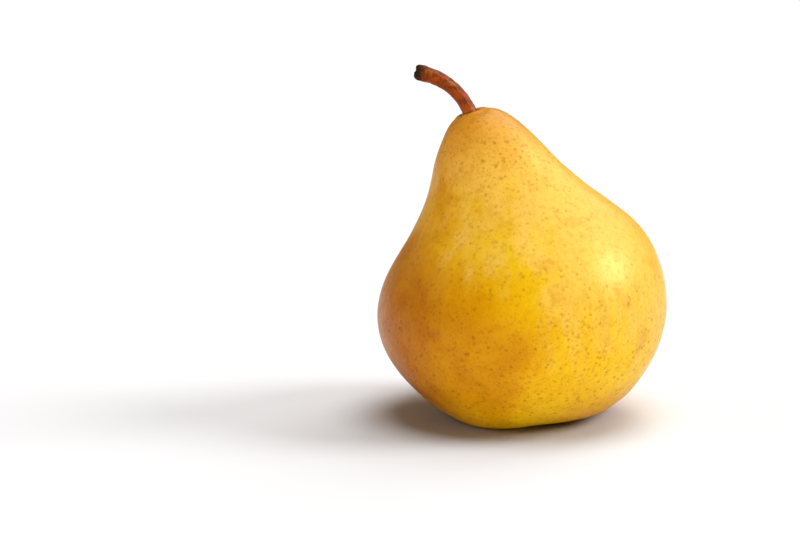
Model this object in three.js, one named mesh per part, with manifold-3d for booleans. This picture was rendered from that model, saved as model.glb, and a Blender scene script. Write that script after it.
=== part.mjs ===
// A ripe pear standing on its blossom end: the fruit, its woody stalk, and the dried
// flower remains (five sepals and a tuft of stamens) in the basin underneath.
// Millimetres, +Z up. The origin is the middle of the footprint at the level it rests on.

import * as THREE from "three";
import { NURBSCurve } from "three/addons/curves/NURBSCurve.js";
import { mergeVertices } from "three/addons/utils/BufferGeometryUtils.js";
import Module from "manifold-3d";

const wasm = await Module();
wasm.setup();

// Gap left between pieces that touch in the real fruit.
const GAP = 0.3;

// The core line runs up the middle of the fruit as one cubic curve in the XZ plane. It
// starts upright over the blossom end and leans further towards -X as it rises.
const CORE_LENGTH = 87;
const CORE_STEERING = [
  [3.4, 1.1],
  [1.2, 30.1],
  [-4.6, 59.1],
  [-15.0, 85.4],
];

// Points that steer the half outline of the fruit before it is bent: distance from the
// core line, and height along it, from the middle of the basin over its rim, the belly
// and the neck to the stalk. The surface runs a little inside them.
const FRUIT_STEERING = [
  [0, 5.4],
  [4, 5.6],
  [8.5, 2.6],
  [13.5, -1.6],
  [22.5, 0.2],
  [29, 5.5],
  [38, 16],
  [41.5, 30],
  [37.5, 44],
  [27, 55],
  [19, 65],
  [15.2, 73.5],
  [10.4, 80.8],
  [6, 85.3],
  [0, 85.7],
];
const FRUIT_RINGS = 52;
const FRUIT_SEGMENTS = 64;

// Five soft lobes around the basin, each with its direction in degrees from +X and how
// far it stands out downwards. The pear rests on the tips of four of them.
const LOBES = [
  { direction: -127, depth: 1.0 },
  { direction: -55, depth: 0.1 },
  { direction: 17, depth: 2.1 },
  { direction: 89, depth: 1.2 },
  { direction: 161, depth: 0.5 },
];
const LOBE_WIDTH = 26;
const LOBE_RADIUS = 14;
const LOBE_HEIGHT = 14;
const LOBE_SPREAD = 0.02;

// Block below the fruit that its lobes are cut flat against.
const GROUND_SIZE = 100;

// The stalk follows a cubic curve in the XZ plane, from inside its socket in the neck to
// its broken end. Its outline is distance from that curve, and share of the length.
const STEM_STEERING = [
  [-13.0, 79.8],
  [-15.6, 88.6],
  [-21.0, 93.6],
  [-28.6, 94.9],
];
const STEM_OUTLINE = [
  [1.7, 0],
  [1.9, 0.2],
  [1.85, 0.4],
  [1.95, 0.7],
  [2.1, 0.88],
  [2.3, 0.96],
  [2.1, 1],
];
const STEM_RINGS = 24;
const STEM_SEGMENTS = 20;

// The calyx hangs in the basin, square to the core line, one sepal in line with each lobe.
const CALYX_CLEARANCE = 0.4;
const SEPAL_ROOT_RADIUS = 1.3;
const SEPAL_LENGTH = 5.2;
const SEPAL_ROOT_WIDTH = 1.4;
const SEPAL_WIDTH = 2.4;
const SEPAL_WIDEST_AT = 0.4;
const SEPAL_TIP_WIDTH = 0.5;
const SEPAL_THICKNESS = 0.5;
const SEPAL_DROOP = 38;
const STAMENS_OUTLINE = [
  [0, 0],
  [0.7, 0],
  [0.75, 1],
  [1, 2.4],
  [0, 2.4],
];
const STAMENS_SEGMENTS = 16;

const skin = new THREE.MeshStandardMaterial({ color: 0xe3a820, roughness: 0.42, metalness: 0 });
const bark = new THREE.MeshStandardMaterial({ color: 0x8a3a14, roughness: 0.6, metalness: 0 });
const driedLeaf = new THREE.MeshStandardMaterial({ color: 0x3f2818, roughness: 0.9, metalness: 0 });
const driedThread = new THREE.MeshStandardMaterial({ color: 0x2b1b10, roughness: 0.95, metalness: 0 });

function asPoints(pairs) {
  return pairs.map(([a, b]) => new THREE.Vector2(a, b));
}

function cubicCurve(steering) {
  return new THREE.CubicBezierCurve(...asPoints(steering));
}

// A smooth outline steered by points, as a cubic spline with even knots. The points are
// mirrored in the axis at both ends, so the turned surface crosses the axis square to it.
function turnedOutline(steering, steps) {
  const mirrored = ([radius, height]) => [-radius, height];
  const points = [mirrored(steering[1]), ...steering, mirrored(steering.at(-2))];
  const knots = Array.from({ length: points.length + 4 }, (_, i) => i);
  const weighted = points.map(([radius, height]) => new THREE.Vector4(radius, height, 0, 1));
  const curve = new NURBSCurve(3, knots, weighted, 3, points.length);
  return curve.getPoints(steps).map(({ x, y }) => new THREE.Vector2(Math.max(x, 0), y));
}

// Moves a shape turned about the y axis onto a curve in the XZ plane: a vertex at height
// y goes to that distance along the curve, and stays as far to the side of it as it was.
function bend(geometry, curve, length) {
  const place = geometry.attributes.position;
  for (let i = 0; i < place.count; i++) {
    const height = place.getY(i);
    const share = THREE.MathUtils.clamp(height / length, 0, 1);
    const point = curve.getPoint(share);
    const tangent = curve.getTangent(share);
    const beyond = height - share * length;
    const side = place.getX(i);
    place.setXYZ(
      i,
      point.x + tangent.x * beyond + tangent.y * side,
      -place.getZ(i),
      point.y + tangent.y * beyond - tangent.x * side,
    );
  }
  return geometry;
}

// How far the lobes stand out below the rim in one direction, as a sum of soft humps.
function lobeDepth(angle) {
  let depth = 0;
  for (const lobe of LOBES) {
    const away = THREE.MathUtils.euclideanModulo(angle - lobe.direction + 180, 360) - 180;
    depth += lobe.depth * Math.exp(-((away / LOBE_WIDTH) ** 2));
  }
  return depth;
}

// Pushes the straight fruit's lower end down and a little outwards at each lobe. The
// effect grows from the middle of the basin to its rim and fades up the belly.
function addLobes(geometry) {
  const place = geometry.attributes.position;
  for (let i = 0; i < place.count; i++) {
    const x = place.getX(i);
    const y = place.getY(i);
    const z = place.getZ(i);
    const reach = Math.min(Math.hypot(x, z) / LOBE_RADIUS, 1) ** 2;
    const share = Math.exp(-((y / LOBE_HEIGHT) ** 2)) * reach;
    const depth = lobeDepth(THREE.MathUtils.radToDeg(Math.atan2(-z, x))) * share;
    const spread = 1 + LOBE_SPREAD * depth;
    place.setXYZ(i, x * spread, y - depth, z * spread);
  }
  return geometry;
}

function toSolid(geometry) {
  const bare = geometry.clone();
  bare.deleteAttribute("normal");
  bare.deleteAttribute("uv");
  const merged = mergeVertices(bare, 1e-4);
  return new wasm.Manifold(
    new wasm.Mesh({
      numProp: 3,
      vertProperties: merged.attributes.position.array,
      triVerts: new Uint32Array(merged.index.array),
    }),
  );
}

function toGeometry(solid) {
  const { vertProperties, triVerts } = solid.getMesh();
  const geometry = new THREE.BufferGeometry();
  geometry.setAttribute("position", new THREE.BufferAttribute(vertProperties, 3));
  geometry.setIndex(new THREE.BufferAttribute(triVerts, 1));
  geometry.computeVertexNormals();
  return geometry;
}

// The stalk, or with a positive margin the socket that holds it.
function stemGeometry(margin) {
  const route = cubicCurve(STEM_STEERING);
  const length = route.getLength();
  const side = new THREE.SplineCurve(asPoints(STEM_OUTLINE)).getPoints(STEM_RINGS);
  const outline = [
    new THREE.Vector2(0, -margin),
    ...side.map((p) => new THREE.Vector2(p.x + margin, p.y * (length + 2 * margin) - margin)),
    new THREE.Vector2(0, length + margin),
  ];
  return bend(new THREE.LatheGeometry(outline, STEM_SEGMENTS), route, length);
}

// The fruit is turned, given its lobes, bent along the core line, then cut flat where it
// stands and hollowed where the stalk goes in.
function fruitGeometry() {
  const outline = turnedOutline(FRUIT_STEERING, FRUIT_RINGS);
  const turned = addLobes(new THREE.LatheGeometry(outline, FRUIT_SEGMENTS));
  const whole = toSolid(bend(turned, cubicCurve(CORE_STEERING), CORE_LENGTH));
  const ground = new THREE.BoxGeometry(GROUND_SIZE, GROUND_SIZE, GROUND_SIZE);
  ground.translate(0, 0, -GROUND_SIZE / 2);
  return toGeometry(whole.subtract(toSolid(ground)).subtract(toSolid(stemGeometry(GAP))));
}

// One sepal as a flat tongue: it starts narrow, widens, and runs out to a blunt tip.
function sepalGeometry() {
  const root = SEPAL_ROOT_WIDTH / 2;
  const tip = SEPAL_TIP_WIDTH / 2;
  const widest = SEPAL_LENGTH * SEPAL_WIDEST_AT;
  const tongue = new THREE.Shape();
  tongue.moveTo(0, -root);
  tongue.quadraticCurveTo(widest, -SEPAL_WIDTH / 2, SEPAL_LENGTH, -tip);
  tongue.lineTo(SEPAL_LENGTH, tip);
  tongue.quadraticCurveTo(widest, SEPAL_WIDTH / 2, 0, root);
  tongue.closePath();
  return new THREE.ExtrudeGeometry(tongue, {
    depth: SEPAL_THICKNESS,
    bevelEnabled: false,
    curveSegments: 8,
  });
}

// Five sepals spread like the points of a star around the stamens, all hanging from the
// middle of the basin floor.
function calyx() {
  const core = cubicCurve(CORE_STEERING);
  const share = turnedOutline(FRUIT_STEERING, FRUIT_RINGS)[0].y / CORE_LENGTH;
  const floor = core.getPoint(share);
  const lean = core.getTangent(share);
  const group = new THREE.Group();
  group.position.set(floor.x - lean.x * CALYX_CLEARANCE, 0, floor.y - lean.y * CALYX_CLEARANCE);
  group.rotation.y = Math.atan2(lean.x, lean.y);

  const sepal = sepalGeometry();
  for (const [i, lobe] of LOBES.entries()) {
    const spoke = new THREE.Group();
    spoke.rotation.z = THREE.MathUtils.degToRad(lobe.direction);
    const blade = new THREE.Mesh(sepal, driedLeaf);
    blade.name = `sepal_${i + 1}`;
    blade.position.set(SEPAL_ROOT_RADIUS, 0, -SEPAL_THICKNESS);
    blade.rotation.y = THREE.MathUtils.degToRad(SEPAL_DROOP);
    spoke.add(blade);
    group.add(spoke);
  }

  const tuft = new THREE.LatheGeometry(asPoints(STAMENS_OUTLINE), STAMENS_SEGMENTS);
  const stamens = new THREE.Mesh(tuft, driedThread);
  stamens.name = "stamens";
  stamens.rotation.x = -Math.PI / 2;
  group.add(stamens);
  return group;
}

const pear = new THREE.Group();

const fruit = new THREE.Mesh(fruitGeometry(), skin);
fruit.name = "fruit";
pear.add(fruit);

const stem = new THREE.Mesh(stemGeometry(0), bark);
stem.name = "stem";
pear.add(stem);

pear.add(calyx());

export default pear;
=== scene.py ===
"""A ripe yellow pear standing on its blossom end, on the white floor of a studio.

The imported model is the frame. Every piece here takes the place of one of its nodes, in
the same spot and at the same size, with the fine surface and the finish of the real one.
"""

import math

import bpy
import numpy as np
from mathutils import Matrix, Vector


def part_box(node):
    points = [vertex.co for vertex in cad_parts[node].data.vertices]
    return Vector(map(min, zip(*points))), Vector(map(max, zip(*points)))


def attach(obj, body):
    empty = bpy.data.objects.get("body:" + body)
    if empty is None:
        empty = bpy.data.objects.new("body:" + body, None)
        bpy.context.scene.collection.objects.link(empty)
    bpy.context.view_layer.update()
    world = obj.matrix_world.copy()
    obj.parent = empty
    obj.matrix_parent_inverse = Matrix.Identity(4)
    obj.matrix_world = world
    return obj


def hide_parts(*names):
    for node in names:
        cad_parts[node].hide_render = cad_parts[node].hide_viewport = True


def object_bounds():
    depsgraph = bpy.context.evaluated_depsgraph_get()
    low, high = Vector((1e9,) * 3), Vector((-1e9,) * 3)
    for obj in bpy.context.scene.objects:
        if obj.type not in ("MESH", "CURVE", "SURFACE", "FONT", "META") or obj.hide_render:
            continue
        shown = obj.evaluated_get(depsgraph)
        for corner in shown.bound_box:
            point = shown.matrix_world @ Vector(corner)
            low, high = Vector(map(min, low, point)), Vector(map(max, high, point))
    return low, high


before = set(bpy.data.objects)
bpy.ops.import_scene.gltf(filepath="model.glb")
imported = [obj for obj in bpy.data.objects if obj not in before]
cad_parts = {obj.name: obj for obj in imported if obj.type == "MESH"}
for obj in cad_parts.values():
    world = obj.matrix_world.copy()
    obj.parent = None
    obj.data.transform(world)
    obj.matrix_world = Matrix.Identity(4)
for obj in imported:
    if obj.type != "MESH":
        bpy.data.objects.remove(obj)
cad_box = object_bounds()

BODY = "root"
FRUIT_HEIGHT = 85.29

# One millimetre of the pear as it is drawn below, in the frame's metres.
fruit_low, fruit_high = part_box("fruit")
MM = (fruit_high.z - fruit_low.z) / FRUIT_HEIGHT

# --------------------------------------------------------------------------------------
# Driving dimensions, in millimetres and degrees
# --------------------------------------------------------------------------------------

# The core line runs up the middle of the fruit in the XZ plane and leans towards -X.
CORE_LENGTH = 87
CORE_STEERING = [
    (3.4, 1.1),
    (1.2, 30.1),
    (-4.6, 59.1),
    (-15.0, 85.4),
]

# The half outline of the straight fruit: distance from the core line, height along it.
FRUIT_STEERING = [
    (0, 5.4),
    (4, 5.6),
    (8.5, 2.6),
    (13.5, -1.6),
    (22.5, 0.2),
    (29, 5.5),
    (38, 16),
    (41.5, 30),
    (37.5, 44),
    (27, 55),
    (19, 65),
    (15.2, 73.5),
    (10.4, 80.8),
    (6, 85.3),
    (0, 85.7),
]
SKIN_RINGS = 320
SKIN_SEGMENTS = 288

# Lobes round the basin: direction from +X, and how far each stands out downwards.
LOBES = [
    (-127, 1.0),
    (-55, 0.1),
    (17, 2.1),
    (89, 1.2),
    (161, 0.5),
]
LOBE_WIDTH = 26
LOBE_RADIUS = 14
LOBE_HEIGHT = 14
LOBE_SPREAD = 0.02

# Relief of the skin. A place is the distance from the core line where the relief is
# strongest, and how wide a hump it makes there. A wave is its height, how many times it
# goes up and down round the fruit, and its phase.
FOLD_DEPTH = 0.16
FOLD_PLACE = (7.5, 4.5)
FOLD_WAVES = [(1, 5, 0.4), (0.7, 9, 2.1), (0.5, 14, 4.0)]
RIB_DEPTH = 0.12
RIB_PLACE = (5.0, 3.0)
RIB_WAVES = [(1, 4, 1.0), (0.6, 7, 2.6)]
COLLAR_HEIGHT = 0.45
COLLAR_PLACE = (3.4, 1.1)
SOCKET_DEPTH = 1.1
SOCKET_PLACE = (1.4, 1.0)
SWELL_DEPTH = 0.28
SWELL_LENGTHS = (20, 46)
DENT_DEPTH = 0.07
DENT_LENGTHS = (8, 16)

# The stalk: its route in the XZ plane, and distance from it at each share of its length.
STEM_STEERING = [
    (-13.0, 79.8),
    (-15.6, 88.6),
    (-21.0, 93.6),
    (-28.6, 94.9),
]
STEM_OUTLINE = [
    (0.0, 1.7),
    (0.2, 1.9),
    (0.4, 1.85),
    (0.7, 1.95),
    (0.88, 2.1),
    (0.96, 2.3),
    (1.0, 2.1),
]
STEM_RINGS = 260
STEM_SEGMENTS = 120
STEM_CAP_RINGS = 40
# How many rings each way the corners of the outline are smoothed over.
STEM_SMOOTHING = 15
# The stalk's usual radius and its length, for knots that are as long as they are wide.
STEM_RADIUS = 2
STEM_LENGTH = 22

# Relief of the stalk, and the shape of its broken end.
GROOVE_DEPTH = 0.07
KNOT_DEPTH = 0.07
KNOT_LENGTHS = (1.2, 4)
SPLIT_DEPTH = 0.1
SPLIT_WAVES = [(1, 3, 0.7), (0.6, 5, 1.9)]
TEAR_DEPTH = 0.2
TEAR_LENGTHS = (1.3, 3.2)
END_LENGTH = 0.95
KNOB_HEIGHT = 0.3
# How far on in the finish each radian of the rounded end counts, as a share of the length.
END_SHARE = 0.03

# The calyx hangs this far below the basin floor, with one sepal in line with each lobe.
CALYX_CLEARANCE = 0.4
SEPAL_RINGS = 44
SEPAL_SEGMENTS = 32
SEPAL_THICKNESS = 0.42
SEPAL_HALF_WIDTH = 1.25
SEPAL_TIP_HALF_WIDTH = 0.12
# How far the edges of a sepal bend, and turn back at the very edge, for each mm of width.
SEPAL_BEND = 0.32
SEPAL_LIP = 0.12
CRUMPLE_DEPTH = 0.07
CRUMPLE_LENGTHS = (1.0, 3.0)

# The tuft: thin stamens, each with a wider foot and an end knob, on a low round cushion.
STAMEN_COUNT = 18
STAMEN_RINGS = 16
STAMEN_SEGMENTS = 8
STAMEN_TURN = 137.5
STAMEN_LENGTH = 2.2
STAMEN_RADIUS = 0.09
STAMEN_KNOB = 0.1
STAMEN_FOOT = 0.05
STAMEN_START = 0.1
TUFT_RADIUS = 0.62
CUSHION_RADIUS = 0.85
CUSHION_HEIGHT = 0.75


# --------------------------------------------------------------------------------------
# Shape tools
# --------------------------------------------------------------------------------------


def bezier(steering, share):
    """Point and unit tangent on a cubic curve steered by four points.

    The point is the sum of the four, weighted (1-t)^3, 3(1-t)^2 t, 3(1-t) t^2 and t^3,
    and the tangent points along the slope of that sum.
    """
    p = np.asarray(steering, float)
    t = np.asarray(share, float)[..., None]
    point = (1 - t) ** 3 * p[0] + 3 * (1 - t) ** 2 * t * p[1]
    point = point + 3 * (1 - t) * t**2 * p[2] + t**3 * p[3]
    slope = (1 - t) ** 2 * (p[1] - p[0]) + 2 * (1 - t) * t * (p[2] - p[1])
    slope = slope + t**2 * (p[3] - p[2])
    return point, slope / np.linalg.norm(slope, axis=-1, keepdims=True)


def bent(steering, share, beyond, across, sideways):
    """Places points round a cubic curve in the XZ plane.

    A point lies at curve(t) + beyond tangent(t) + across square(t) + sideways Y, where
    the direction square(t) is the tangent (l, m) turned to (m, -l).
    """
    point, tangent = bezier(steering, share)
    x = point[..., 0] + tangent[..., 0] * beyond + tangent[..., 1] * across
    z = point[..., 1] + tangent[..., 1] * beyond - tangent[..., 0] * across
    return np.stack([x, sideways, z], axis=-1)


def turned_outline(steering, rings):
    """Even cubic B-spline steered by the half outline, mirrored in the axis at both ends.

    Within each stretch, s runs 0 to 1 and four neighbouring points are weighted (1-s)^3,
    3s^3-6s^2+4, -3s^3+3s^2+3s+1 and s^3, all over 6.
    """
    p = np.asarray(steering, float)
    mirror = np.array([-1, 1])
    p = np.vstack([p[1] * mirror, p, p[-2] * mirror])
    along = np.linspace(0, len(p) - 3, rings)
    start = np.minimum(along.astype(int), len(p) - 4)
    s = (along - start)[:, None]
    total = (1 - s) ** 3 * p[start]
    total += (3 * s**3 - 6 * s**2 + 4) * p[start + 1]
    total += (-3 * s**3 + 3 * s**2 + 3 * s + 1) * p[start + 2]
    total += s**3 * p[start + 3]
    return total[:, 0] / 6, total[:, 1] / 6


def around(segments):
    """Angles evenly round a circle, in radians, as one row."""
    return np.linspace(0, 2 * np.pi, segments, endpoint=False)[None]


def bump(distance, middle, width):
    """A smooth hump exp(-((distance - middle) / width)^2), 1 high at its middle."""
    return np.exp(-(((distance - middle) / width) ** 2))


def ease(value, start, end):
    """Runs smoothly from 0 at start to 1 at end, as 3t^2 - 2t^3 of the share t between."""
    t = np.clip((value - start) / (end - start), 0, 1)
    return t * t * (3 - 2 * t)


def waves_round(angle, waves):
    """Sum of height cos(count angle + phase) over waves given as those three numbers."""
    return sum(height * np.cos(count * angle + phase) for height, count, phase in waves)


def ripples(points, lengths, seed, waves=10):
    """Gentle unevenness: a sum of sine waves that cross space in seeded directions.

    Each wave is sin(2 pi (d . p) / L + phase), with L drawn between the two lengths.
    Their sum is divided by the square root of their number, so that most values lie
    between -1 and 1.
    """
    draw = np.random.default_rng(seed)
    total = np.zeros(points.shape[:-1])
    for _ in range(waves):
        direction = draw.normal(size=3)
        direction /= np.linalg.norm(direction)
        length = draw.uniform(*lengths)
        phase = draw.uniform(0, 2 * np.pi)
        total += np.sin(2 * np.pi * (points @ direction) / length + phase)
    return total / math.sqrt(waves)


def normals(points):
    """Unit normals of a grid of points, as the cross product of its two slopes.

    The grid is (rings, segments, 3), and its segments go round and meet.
    """
    along = np.gradient(points, axis=0)
    beside = np.roll(points, -1, axis=1) - np.roll(points, 1, axis=1)
    across = np.cross(beside, along)
    return across / np.maximum(np.linalg.norm(across, axis=-1, keepdims=True), 1e-12)


def with_poles(grid):
    """Lists a grid (tubes, rings, segments, size), with each end ring drawn into its mean."""
    count, _, _, size = grid.shape
    poles = grid[:, [0, -1]].mean(axis=2)
    walls = grid[:, 1:-1].reshape(count, -1, size)
    return np.concatenate([poles[:, :1], walls, poles[:, 1:]], axis=1).reshape(-1, size)


def closed_tubes(name, tubes, **attributes):
    """Makes one mesh of closed tubes from an array (tubes, rings, segments, 3), in mm.

    The first and last ring of each tube are drawn together into one point, its pole, and
    fans of triangles join it to the next ring. Quads join the rings between. Each
    attribute is a number for every point of the array.
    """
    count, rings, segments, _ = tubes.shape
    ring = 1 + segments * np.arange(rings - 2)
    last = 1 + segments * (rings - 2)
    here = np.arange(segments)
    after = (here + 1) % segments
    low = ring[:-1, None]
    high = ring[1:, None]
    quads = np.stack([low + here, low + after, high + after, high + here], axis=-1)
    bottom = np.stack([np.full(segments, 0), 1 + after, 1 + here], axis=-1)
    top = np.stack([np.full(segments, last), ring[-1] + here, ring[-1] + after], axis=-1)
    steps = (last + 1) * np.arange(count)[:, None, None]
    faces = (quads.reshape(-1, 4) + steps).reshape(-1, 4).tolist()
    faces += (bottom + steps).reshape(-1, 3).tolist()
    faces += (top + steps).reshape(-1, 3).tolist()
    mesh = bpy.data.meshes.new(name)
    mesh.from_pydata((with_poles(tubes) * MM).tolist(), [], faces)
    for label, values in attributes.items():
        layer = mesh.attributes.new(label, "FLOAT", "POINT")
        flat = with_poles(values[..., None])[:, 0]
        layer.data.foreach_set("value", flat.astype(np.float32))
    mesh.shade_smooth()
    piece = bpy.data.objects.new(name, mesh)
    bpy.context.scene.collection.objects.link(piece)
    return piece


# --------------------------------------------------------------------------------------
# Shader tools
# --------------------------------------------------------------------------------------


class Value:
    """One output of a node. Sums written with it in Python add Math nodes."""

    def __init__(self, nodes, socket):
        self.nodes = nodes
        self.socket = socket

    def __add__(self, other):
        return self.nodes.maths("ADD", self, other)

    __radd__ = __add__

    def __sub__(self, other):
        return self.nodes.maths("SUBTRACT", self, other)

    def __rsub__(self, other):
        return self.nodes.maths("SUBTRACT", other, self)

    def __mul__(self, other):
        return self.nodes.maths("MULTIPLY", self, other)

    __rmul__ = __mul__

    def __truediv__(self, other):
        return self.nodes.maths("DIVIDE", self, other)


class Nodes:
    """The node tree of a material or the world, and the one way that nodes are added."""

    def __init__(self, owner):
        owner.use_nodes = True
        self.tree = owner.node_tree

    def node(self, kind, settings=None, sockets=None, output=0):
        """Adds a node: its settings first, then the values or links of its sockets."""
        made = self.tree.nodes.new(kind)
        for setting, value in (settings or {}).items():
            setattr(made, setting, value)
        self.fill(made, sockets or {})
        return Value(self, made.outputs[output])

    def fill(self, node, sockets):
        """Gives a node's sockets their values, or links them to other nodes' outputs."""
        for name, value in sockets.items():
            if isinstance(value, Value):
                self.tree.links.new(value.socket, node.inputs[name])
            else:
                node.inputs[name].default_value = value

    def maths(self, operation, first, second):
        """One sum of two values or numbers."""
        return self.node("ShaderNodeMath", {"operation": operation}, {0: first, 1: second})


class Finish(Nodes):
    """A material under construction: a Principled surface and the nodes that feed it."""

    def __init__(self, name):
        self.material = bpy.data.materials.new(name)
        super().__init__(self.material)
        self.surface = self.tree.nodes["Principled BSDF"]
        self.place = self.node("ShaderNodeTexCoord", output="Object")

    def mix(self, first, second, factor, blend="MIX"):
        """Goes from the first colour to the second as the factor goes from 0 to 1."""
        settings = {"data_type": "RGBA", "blend_type": blend}
        return self.node("ShaderNodeMix", settings, {0: factor, 6: first, 7: second}, output=2)

    def ease(self, value, start, end, low=0.0, high=1.0):
        """Runs smoothly from low to high as the value goes from start to end."""
        sockets = {
            "Value": value,
            "From Min": start,
            "From Max": end,
            "To Min": low,
            "To Max": high,
        }
        return self.node("ShaderNodeMapRange", {"interpolation_type": "SMOOTHSTEP"}, sockets)

    def vector_maths(self, operation, *values, output=0):
        """One sum of vectors."""
        sockets = dict(enumerate(values))
        return self.node("ShaderNodeVectorMath", {"operation": operation}, sockets, output)

    def stretched(self, x, y, z):
        """Object coordinates with each axis multiplied by its own number."""
        return self.vector_maths("MULTIPLY", self.place, (x, y, z))

    def noise(self, size, detail=2.0, roughness=0.5, distortion=0.0, place=None, output=0):
        """Soft noise with patches about that many millimetres across."""
        sockets = {
            "Vector": place or self.place,
            "Scale": 1 / (size * MM),
            "Detail": detail,
            "Roughness": roughness,
            "Distortion": distortion,
        }
        return self.node("ShaderNodeTexNoise", None, sockets, output)

    def dots(self, spacing, place=None):
        """Distance to the nearest of many scattered points, as a share of their spacing."""
        sockets = {"Vector": place or self.place, "Scale": 1 / (spacing * MM)}
        return self.node("ShaderNodeTexVoronoi", None, sockets, output="Distance")

    def away(self, point):
        """Distance in millimetres from a point given in millimetres."""
        metres = [c * MM for c in point]
        return self.vector_maths("DISTANCE", self.place, metres, output="Value") / MM

    def attribute(self, name):
        """A number that the mesh carries at each of its points."""
        return self.node("ShaderNodeAttribute", {"attribute_name": name}, output="Fac")

    def relief(self, height, depth, below=None):
        """Raises the surface by a height from 0 to 1, times a depth in millimetres."""
        sockets = {"Height": height, "Strength": 1.0, "Distance": depth * MM}
        if below is not None:
            sockets["Normal"] = below
        return self.node("ShaderNodeBump", None, sockets, output="Normal")


def paint(red, green, blue):
    """A colour in everyday steps of 0 to 255, as the linear values that shaders use."""
    steps = np.array([red, green, blue]) / 255
    linear = np.where(steps <= 0.04045, steps / 12.92, ((steps + 0.055) / 1.055) ** 2.4)
    return (*linear.tolist(), 1.0)


# --------------------------------------------------------------------------------------
# The skin
# --------------------------------------------------------------------------------------

STALK_FOOT = (-14.6, 0, 84.3)
BASIN_MIDDLE = (3.4, 0, 3)

GOLD = paint(212, 153, 3)
# The next colour is partly the skin's amber blush and partly painted shade.
AMBER_AND_SHADE = paint(168, 94, 0)
LEMON = paint(224, 178, 12)
# The next colour is painted sheen: the pale gloss of the light from above.
PAINTED_SHEEN = paint(230, 187, 98)
HONEY = paint(196, 132, 4)
STRAW = paint(222, 178, 52)
OCHRE = paint(190, 128, 6)
ORANGE_GOLD = paint(198, 124, 8)
RUSSET = paint(140, 76, 14)
RUST = paint(188, 100, 8)
BASIN_BROWN = paint(112, 68, 22)

# What the skin's colour is multiplied by in its grain and in the two sizes of dots.
GRAIN_SHADE = (0.86, 0.82, 0.6, 1.0)
PORE_SHADE = (0.52, 0.42, 0.2, 1.0)
SPECK_SHADE = (0.76, 0.68, 0.45, 1.0)
PORE_SPACING = 1.6
SPECK_SPACING = 0.9
# Noise of the first size moves the outline of a pore by up to the second.
PORE_WOBBLE_SIZE = 0.7
PORE_WOBBLE = 0.9


def skin_surface():
    """The skin as a grid of rings along the outline and angles round it, in millimetres.

    A straight turned fruit is pushed down and a little out at its five lobes. The push is
    the sum of the lobes' humps in angle, times a hump in height, times the square of the
    share of the way out to the rim. Then it is bent: a point at height A and distance R
    goes to core(A) + R cos(angle) side + R sin(angle) Y, where side is square to the core
    line. Folds, ribs, the stalk's collar and socket, swells and dents move it along its
    own normal, and what would lie below the floor is pressed flat on it.
    """
    radius, height = turned_outline(FRUIT_STEERING, SKIN_RINGS)
    radius, height = radius[:, None], height[:, None]
    angle = around(SKIN_SEGMENTS)
    depth = 0
    for direction, drop in LOBES:
        apart = (np.degrees(angle) - direction + 180) % 360 - 180
        depth = depth + drop * bump(apart, 0, LOBE_WIDTH)
    reach = np.clip(radius / LOBE_RADIUS, 0, 1) ** 2
    depth = depth * bump(height, 0, LOBE_HEIGHT) * reach
    wide = radius * (1 + LOBE_SPREAD * depth)
    high = height - depth
    share = np.clip(high / CORE_LENGTH, 0, 1)
    beyond = high - share * CORE_LENGTH
    points = bent(CORE_STEERING, share, beyond, wide * np.cos(angle), wide * np.sin(angle))

    low_end = np.where(height < CORE_LENGTH / 2, 1, 0)
    folds = bump(radius, *FOLD_PLACE) * waves_round(angle, FOLD_WAVES)
    ribs = bump(radius, *RIB_PLACE) * waves_round(angle, RIB_WAVES)
    collar = COLLAR_HEIGHT * bump(radius, *COLLAR_PLACE)
    socket = SOCKET_DEPTH * bump(radius, *SOCKET_PLACE)
    relief = FOLD_DEPTH * low_end * folds
    relief = relief + (1 - low_end) * (RIB_DEPTH * ribs + collar - socket)
    relief = relief + SWELL_DEPTH * ripples(points, SWELL_LENGTHS, seed=3)
    relief = relief + DENT_DEPTH * ripples(points, DENT_LENGTHS, seed=4)
    points = points + normals(points) * relief[..., None]
    points[..., 2] = np.maximum(points[..., 2], 0)
    return points


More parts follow.
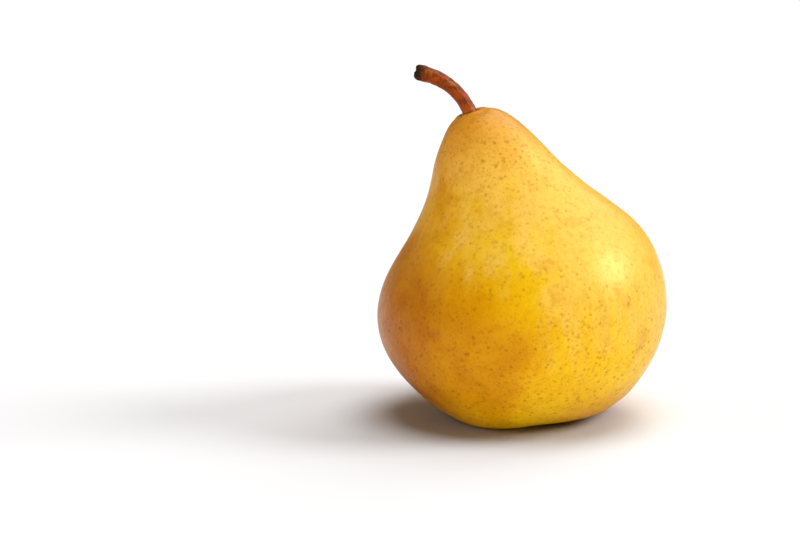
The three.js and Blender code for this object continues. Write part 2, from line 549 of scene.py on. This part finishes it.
def skin_finish():
    """Waxy yellow skin: golden mottling, an amber side partly of painted shade, painted light low
    down, a painted sheen above, russet at both ends, brown dots.
    """
    f = Finish("pear_skin")
    x, y, z = (
        f.node("ShaderNodeSeparateXYZ", None, {0: f.place}, output=axis) / MM for axis in "XYZ"
    )
    blotches = f.noise(26, detail=3, roughness=0.55, distortion=0.6)
    patches = f.noise(9, detail=4, roughness=0.6, distortion=0.4)
    grain = f.noise(2.2, detail=3, roughness=0.6)
    streaks = f.noise(1.6, detail=2, place=f.stretched(1, 1, 0.12))
    bands = f.noise(7, detail=3, roughness=0.6, place=f.stretched(1, 1, 0.3))

    # Gold turns amber towards -X and lemon towards +X, and mottling blurs the change.
    # The amber side is partly blush and partly painted shade away from the lights; the push to
    # gold low down is painted light from the floor.
    turn = x * 0.018 - 0.1 + f.ease(z, 26, 60) * 0.5 + f.ease(z, 16, 2) * 0.25 - y * 0.004
    turn = turn + (blotches - 0.5) * 1.1 + (patches - 0.5) * 0.6
    lemon_side = f.ease(turn, -0.05, 0.55)
    colour = f.mix(GOLD, AMBER_AND_SHADE, f.ease(turn, 0.35, -0.75))
    colour = f.mix(colour, LEMON, lemon_side)

    # A painted sheen, paler on the upper half and towards +X, and darker and paler patches and
    # streaks.
    painted_sheen = f.ease(z + x * 0.7 + (patches - 0.5) * 20 + (bands - 0.5) * 90, 30, 62)
    colour = f.mix(colour, PAINTED_SHEEN, painted_sheen * 0.5)
    colour = f.mix(colour, HONEY, f.ease(patches, 0.5, 0.75) * 0.45)
    colour = f.mix(colour, STRAW, f.ease(patches, 0.46, 0.28) * 0.4 * lemon_side)
    colour = f.mix(colour, OCHRE, f.ease(streaks, 0.5, 0.75) * 0.2)

    # Orange-gold shoulder, and thin russet round the stalk, low down and in the basin.
    from_stalk = f.away(STALK_FOOT)
    shoulder = f.ease(from_stalk + (patches - 0.5) * 14, 28, 6)
    near_stalk = f.ease(from_stalk + (grain - 0.5) * 3, 4.2, 2.0)
    low_rim = f.ease(z + (patches - 0.5) * 14, 15, 1) * f.ease(x, 2, 24)
    basin = f.ease(f.away(BASIN_MIDDLE) + (grain - 0.5) * 5, 15, 5)
    colour = f.mix(colour, ORANGE_GOLD, shoulder * 0.8)
    colour = f.mix(colour, RUSSET, near_stalk * 0.8)
    colour = f.mix(colour, RUST, low_rim * 0.7)
    colour = f.mix(colour, BASIN_BROWN, basin * 0.85)

    # Breathing pores: scattered brown dots, closer together low down and on the neck.
    crowd = f.ease(z + (blotches - 0.5) * 30, 52, 18) + f.ease(z, 62, 74)
    wobble = f.noise(PORE_WOBBLE_SIZE, output="Color")
    uneven = f.vector_maths("MULTIPLY_ADD", wobble, (PORE_WOBBLE * MM,) * 3, f.place)
    strength = f.ease(f.noise(3, detail=1), 0.35, 0.65, 0.35, 1.0)
    pores = f.ease(f.dots(PORE_SPACING, uneven), 0.42, 0.1) * strength * (0.46 + 0.25 * crowd)
    specks = f.ease(f.dots(SPECK_SPACING), 0.44, 0.1) * (0.4 + 0.3 * crowd)
    colour = f.mix(colour, GRAIN_SHADE, f.ease(grain, 0.46, 0.7) * 0.55, "MULTIPLY")
    colour = f.mix(colour, PORE_SHADE, pores, "MULTIPLY")
    colour = f.mix(colour, SPECK_SHADE, specks, "MULTIPLY")

    normal = f.relief(f.noise(1.3, detail=2), 0.05)
    f.fill(f.surface, {
        "Base Color": colour,
        "Roughness": 0.4 + (grain - 0.5) * 0.14 + pores * 0.18 + near_stalk * 0.3 + basin * 0.3,
        "Normal": f.relief(pores, 0.02, normal),
        "IOR": 1.45,
        "Specular IOR Level": 0.36,
        "Specular Tint": (1.0, 0.84, 0.3, 1.0),
        "Subsurface Weight": 0.1,
        "Subsurface Radius": (1.0, 0.4, 0.05),
        "Subsurface Scale": 2.5 * MM,
    })
    return f.material


# --------------------------------------------------------------------------------------
# The stalk
# --------------------------------------------------------------------------------------


def stem_surface():
    """The stalk as a tube along its curve, in millimetres, with each point's share along it.

    A point at share t and angle a lies at route(t) + r(t, a) (cos(a) side + sin(a) Y).
    The distance r follows the outline, smoothed, plus grooves that turn slowly round the
    stalk, small knots, and splits near the broken end. That end closes as c goes from 0
    to a right angle: r is multiplied by cos(c), and the point moves on along the route by
    sin(c) times the end's length, by three knobs of cos(3a + 0.7) sin(2c), and by ripples.
    """
    wall = np.linspace(0, 1, STEM_RINGS)
    cap = np.linspace(0, np.pi / 2, STEM_CAP_RINGS + 1)[1:]
    share = np.concatenate([wall, np.ones(STEM_CAP_RINGS)])[:, None]
    closing = np.concatenate([np.zeros(STEM_RINGS), cap])[:, None]
    angle = around(STEM_SEGMENTS)

    known_shares, known_radii = np.array(STEM_OUTLINE).T
    outline = np.interp(share[:, 0], known_shares, known_radii)
    padded = np.pad(outline, STEM_SMOOTHING, mode="edge")
    window = np.hanning(2 * STEM_SMOOTHING + 1)
    radius = np.convolve(padded, window / window.sum(), mode="valid")[:, None]

    grooves = waves_round(angle, [(0.55, 6, 2.4 * share), (0.45, 11, 1.3 - 3.1 * share)])
    cylinder = [STEM_RADIUS * np.cos(angle), STEM_RADIUS * np.sin(angle), STEM_LENGTH * share]
    straight = np.stack(np.broadcast_arrays(*cylinder), axis=-1)
    knots = ripples(straight, KNOT_LENGTHS, seed=11, waves=16)
    splits = ease(share, 0.86, 1.0) * waves_round(angle, SPLIT_WAVES)
    radius = radius + GROOVE_DEPTH * grooves + KNOT_DEPTH * knots + SPLIT_DEPTH * splits
    radius = radius * np.cos(closing)

    across = radius * np.cos(angle)
    sideways = radius * np.sin(angle)
    section = np.stack([across, sideways, 0 * across], axis=-1)
    torn = ripples(section, TEAR_LENGTHS, seed=21, waves=14) * ease(share, 0.95, 1.0)
    knobs = np.cos(3 * angle + 0.7) * np.sin(2 * closing)
    onwards = TEAR_DEPTH * torn + END_LENGTH * np.sin(closing) + KNOB_HEIGHT * knobs
    along = share + END_SHARE * closing + 0 * angle
    return bent(STEM_STEERING, share, onwards, across, sideways), along


def stem_finish():
    """Red-brown bark, lighter in patches and near its foot, with a near-black broken end."""
    f = Finish("stem_bark")
    along = f.attribute("along")
    patches = f.noise(3.2, detail=4, roughness=0.6)
    grain = f.noise(0.7, detail=3, roughness=0.6)
    fibres = f.noise(0.5, detail=3, place=f.stretched(1, 1, 0.35))
    burnt = f.ease(along + (grain - 0.5) * 0.14 + (patches - 0.5) * 0.1, 0.88, 1.02)
    colour = f.mix(paint(150, 62, 2), paint(92, 32, 2), f.ease(patches, 0.35, 0.62))
    colour = f.mix(colour, paint(172, 92, 6), f.ease(patches, 0.5, 0.72) * 0.8)
    colour = f.mix(colour, paint(70, 26, 6), f.ease(fibres, 0.5, 0.72) * 0.7)
    colour = f.mix(colour, paint(184, 96, 30), f.ease(along, 0.3, 0.18) * 0.6)
    colour = f.mix(colour, paint(44, 27, 12), burnt)
    f.fill(f.surface, {
        "Base Color": colour,
        "Roughness": 0.5 + burnt * 0.35 + (grain - 0.5) * 0.2,
        "Normal": f.relief(grain, 0.08, f.relief(fibres, 0.12)),
        "Specular IOR Level": 0.14,
    })
    return f.material


# --------------------------------------------------------------------------------------
# The calyx
# --------------------------------------------------------------------------------------


def calyx_frame():
    """Middle of the basin floor, and three directions: across the core, along Y, down it."""
    _, height = turned_outline(FRUIT_STEERING, SKIN_RINGS)
    (x, z), (lean_x, lean_z) = bezier(CORE_STEERING, height[0] / CORE_LENGTH)
    down = np.array([-lean_x, 0, -lean_z])
    floor = np.array([x, 0, z]) + down * CALYX_CLEARANCE
    return floor, np.array([[lean_z, 0, -lean_x], [0, 1, 0], down])


def sepal_surface(direction, seed):
    """One dried sepal, in millimetres: a thin blade whose midline curls as it runs out.

    Outwards distance and drop follow a cubic curve of the share t, and t is spaced as
    (1 - cos) / 2 so that rings crowd at both ends. A point at angle a lies at
    width(t) cos(a) to the side and thick(t) sin(a) through the blade. It also moves
    through the blade by a bend of cos(a)^2 less a lip of cos(a)^8, both in proportion to
    the width, and by a twist that grows with t. Ripples crumple it.
    """
    draw = np.random.default_rng(seed)
    twist = draw.uniform(-0.5, 0.5)
    curl = draw.uniform(-0.5, 0.4)
    t = (0.5 - 0.5 * np.cos(np.linspace(0, np.pi, SEPAL_RINGS)))[:, None]
    angle = around(SEPAL_SEGMENTS)
    midline = [(1.2, 0.35), (2.9, 0.9), (4.3, 2.2 + curl), (5.3, 3.6 + curl)]
    ends = np.sqrt(np.clip(4 * t * (1 - t), 0, 1)) ** 0.8
    width = ends * (SEPAL_HALF_WIDTH * bump(t, 0.38, 0.42) + SEPAL_TIP_HALF_WIDTH)
    thick = 0.5 * SEPAL_THICKNESS * ends * (1.15 - 0.5 * t)
    beside = width * np.cos(angle)
    through = thick * np.sin(angle) + twist * beside * t
    through = through - SEPAL_BEND * width * np.cos(angle) ** 2
    through = through + SEPAL_LIP * width * np.cos(angle) ** 8
    blade = bent(midline, t, 0, through, beside)

    heading = math.radians(direction)
    out = [math.cos(heading), math.sin(heading), 0]
    flank = [-math.sin(heading), math.cos(heading), 0]
    floor, axes = calyx_frame()
    points = floor + blade @ np.array([out, flank, [0, 0, 1]]) @ axes
    crumple = CRUMPLE_DEPTH * ends * ripples(points, CRUMPLE_LENGTHS, seed + 50)
    return points + crumple[..., None] * axes[2]


def stamens_surface():
    """A tuft of dried stamens, in millimetres: thin tubes that lean out and end in a knob.

    Stamen n of N stands on a sunflower spiral: its distance from the middle is the tuft's
    radius times sqrt(n / N), and each is turned on from the last by the same angle. It
    leans outwards and swerves with the square of the share t along it, and a hump near
    its end thickens it to a knob. The first and widest tube is the
    cushion that they grow from. The tubes run downwards, so their angle runs backwards to
    keep the faces outwards.
    """
    draw = np.random.default_rng(8)
    n = np.arange(STAMEN_COUNT)[:, None, None]
    t = np.linspace(0, 1, STAMEN_RINGS)[None, :, None]
    angle = -around(STAMEN_SEGMENTS)[None]
    foot = TUFT_RADIUS * np.sqrt(n / STAMEN_COUNT)
    length = STAMEN_LENGTH + draw.uniform(-0.5, 0.3, n.shape)
    lean = 0.5 * foot + draw.uniform(-0.15, 0.35, n.shape)
    swerve = draw.uniform(-0.4, 0.4, n.shape)
    reach = foot + lean * t**2
    turn = np.radians(STAMEN_TURN * n) + swerve * t**2
    ends = np.sqrt(np.clip(1 - (2 * t - 1) ** 16, 0, 1))
    thick = STAMEN_RADIUS + STAMEN_KNOB * bump(t, 0.93, 0.07) + STAMEN_FOOT * bump(t, 0, 0.2)
    thick = ends * thick
    sideways = reach * np.cos(turn) + thick * np.cos(angle)
    crossways = reach * np.sin(turn) + thick * np.sin(angle)
    down = STAMEN_START + length * t + 0 * angle
    wide = ends * CUSHION_RADIUS * np.sqrt(np.clip(1 - t**4, 0, 1))
    drop = CUSHION_HEIGHT * t + 0 * angle
    cushion = np.stack([wide * np.cos(angle), wide * np.sin(angle), drop], axis=-1)
    stamens = np.stack([sideways, crossways, down], axis=-1)
    floor, axes = calyx_frame()
    return floor + np.concatenate([cushion, stamens]) @ axes


def dried_finish(name, dark, light):
    """Dry, wrinkled plant matter in two browns, with darker flecks in its fine grain."""
    f = Finish(name)
    patches = f.noise(1.4, detail=4, roughness=0.6)
    grain = f.noise(0.35, detail=3, roughness=0.6)
    colour = f.mix(dark, light, f.ease(patches, 0.35, 0.7))
    colour = f.mix(colour, paint(24, 14, 8), f.ease(grain, 0.55, 0.8) * 0.6)
    f.fill(f.surface, {
        "Base Color": colour,
        "Roughness": 0.82 + (grain - 0.5) * 0.2,
        "Normal": f.relief(grain, 0.06, f.relief(patches, 0.12)),
    })
    return f.material


# --------------------------------------------------------------------------------------
# Putting the pear together
# --------------------------------------------------------------------------------------

# The pieces that the fill lights reach.
pear_pieces = bpy.data.collections.new("pear_pieces")


def place_piece(piece, material, slot, *nodes):
    """Gives a piece its material, and lets it stand for the CAD nodes that it replaces."""
    piece.data.materials.append(material)
    pear_pieces.objects.link(piece)
    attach(piece, BODY)
    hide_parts(*nodes)


def make_pear():
    """Makes the skin, the stalk, five sepals, one in line with each lobe, and the tuft."""
    skin = closed_tubes("pear_skin", skin_surface()[None])
    place_piece(skin, skin_finish(), "skin", "fruit")

    stalk, along = stem_surface()
    stem = closed_tubes("woody_stalk", stalk[None], along=along[None])
    place_piece(stem, stem_finish(), "stem_bark", "stem")

    dry_leaf = dried_finish("dried_sepal", paint(70, 44, 24), paint(122, 84, 48))
    for i, (direction, _) in enumerate(LOBES):
        sepal = closed_tubes(f"curled_sepal_{i + 1}", sepal_surface(direction, seed=30 + i)[None])
        place_piece(sepal, dry_leaf, "dried_sepal", f"sepal_{i + 1}")

    tuft = closed_tubes("stamen_tuft", stamens_surface())
    dry_thread = dried_finish("dried_stamens", paint(46, 30, 18), paint(92, 62, 36))
    place_piece(tuft, dry_thread, "dried_stamens", "stamens")


# --------------------------------------------------------------------------------------
# The studio
# --------------------------------------------------------------------------------------

FLOOR_SIZE = 12000
FLOOR_COLOUR = (0.83, 0.84, 0.87, 1)
WORLD_COLOUR = (1, 0.74, 0.4, 1)
WORLD_STRENGTH = 0.12
WHITE = (1, 1, 1, 1)

LENS = 100
NEAREST_SEEN = 0.01
VIEW_ELEVATION = 10
VIEW_DISTANCE = 622.2
# What the camera looks at, from the middle of the CAD model's box.
AIM_OFFSET = (-33.7, 7.0, -8.5)


def make_floor():
    """A wide, flat, matte white floor."""
    half = FLOOR_SIZE * MM / 2
    corners = [(-half, -half, 0), (half, -half, 0), (half, half, 0), (-half, half, 0)]
    mesh = bpy.data.meshes.new("studio_floor")
    mesh.from_pydata(corners, [], [(0, 1, 2, 3)])
    floor = bpy.data.objects.new("studio_floor", mesh)
    bpy.context.scene.collection.objects.link(floor)
    f = Finish("matte_white")
    f.fill(f.surface, {"Base Color": FLOOR_COLOUR, "Roughness": 0.6, "Specular IOR Level": 0.0})
    mesh.materials.append(f.material)


def add_sun(name, strength, softness, azimuth, elevation, only=None):
    """A broad, even light from one direction; softness is how wide it looks, in degrees.

    Azimuth a is measured from +X towards +Y and elevation e up from the floor, so the
    light comes from (cos e cos a, cos e sin a, sin e). A light for fill reaches only the
    pear's own pieces, isn't mirrored in them and isn't passed on to the floor. One for
    gloss is only mirrored.
    """
    data = bpy.data.lights.new(name, "SUN")
    data.energy = strength
    data.angle = math.radians(softness)
    light = bpy.data.objects.new(name, data)
    a = math.radians(azimuth)
    e = math.radians(elevation)
    towards = Vector((math.cos(e) * math.cos(a), math.cos(e) * math.sin(a), math.sin(e)))
    light.rotation_euler = towards.to_track_quat("Z", "Y").to_euler()
    light.visible_diffuse = only != "gloss"
    light.visible_glossy = only != "fill"
    if only == "fill":
        data.cycles.max_bounces = 0
        light.light_linking.receiver_collection = pear_pieces
        light.light_linking.blocker_collection = pear_pieces
    bpy.context.scene.collection.objects.link(light)


def make_world():
    """White where the camera sees past the floor, but a weak, warm light on all else."""
    world = bpy.data.worlds.new("studio")
    bpy.context.scene.world = world
    n = Nodes(world)
    lighting = n.tree.nodes["Background"]
    n.fill(lighting, {"Color": WORLD_COLOUR, "Strength": WORLD_STRENGTH})
    weak = Value(n, lighting.outputs[0])
    backdrop = n.node("ShaderNodeBackground", None, {"Color": WHITE})
    seen = n.node("ShaderNodeLightPath", output="Is Camera Ray")
    either = n.node("ShaderNodeMixShader", None, {0: seen, 1: weak, 2: backdrop})
    n.fill(n.tree.nodes["World Output"], {"Surface": either})


def make_camera():
    """The camera stands back from its aim along a line that drops by the elevation."""
    low, high = (Vector(corner) for corner in cad_box)
    aim = (low + high) / 2 + Vector(AIM_OFFSET) * MM
    tilt = math.radians(VIEW_ELEVATION)
    data = bpy.data.cameras.new("studio_camera")
    data.lens = LENS
    data.clip_start = NEAREST_SEEN
    camera = bpy.data.objects.new("studio_camera", data)
    camera.location = aim + Vector((0, -math.cos(tilt), math.sin(tilt))) * VIEW_DISTANCE * MM
    camera.rotation_euler = (math.pi / 2 - tilt, 0, 0)
    bpy.context.scene.collection.objects.link(camera)
    bpy.context.scene.camera = camera


def make_studio():
    """Camera, backdrop, floor and lights, shown without a film-like tone curve."""
    make_camera()
    make_world()
    make_floor()
    add_sun("softbox", strength=1.85, softness=27, azimuth=2, elevation=33)
    add_sun("overhead", strength=1.6, softness=40, azimuth=0, elevation=85)
    add_sun("back_light", strength=1.15, softness=40, azimuth=55, elevation=48)
    add_sun("side_light", strength=0.25, softness=30, azimuth=180, elevation=28)
    add_sun("gloss_light", strength=2.2, softness=24, azimuth=-2, elevation=34, only="gloss")
    add_sun("front_fill", strength=2.2, softness=30, azimuth=-92, elevation=-4, only="fill")
    add_sun("back_fill", strength=1.3, softness=30, azimuth=125, elevation=14, only="fill")
    bpy.context.scene.view_settings.view_transform = "Standard"


make_studio()
make_pear()
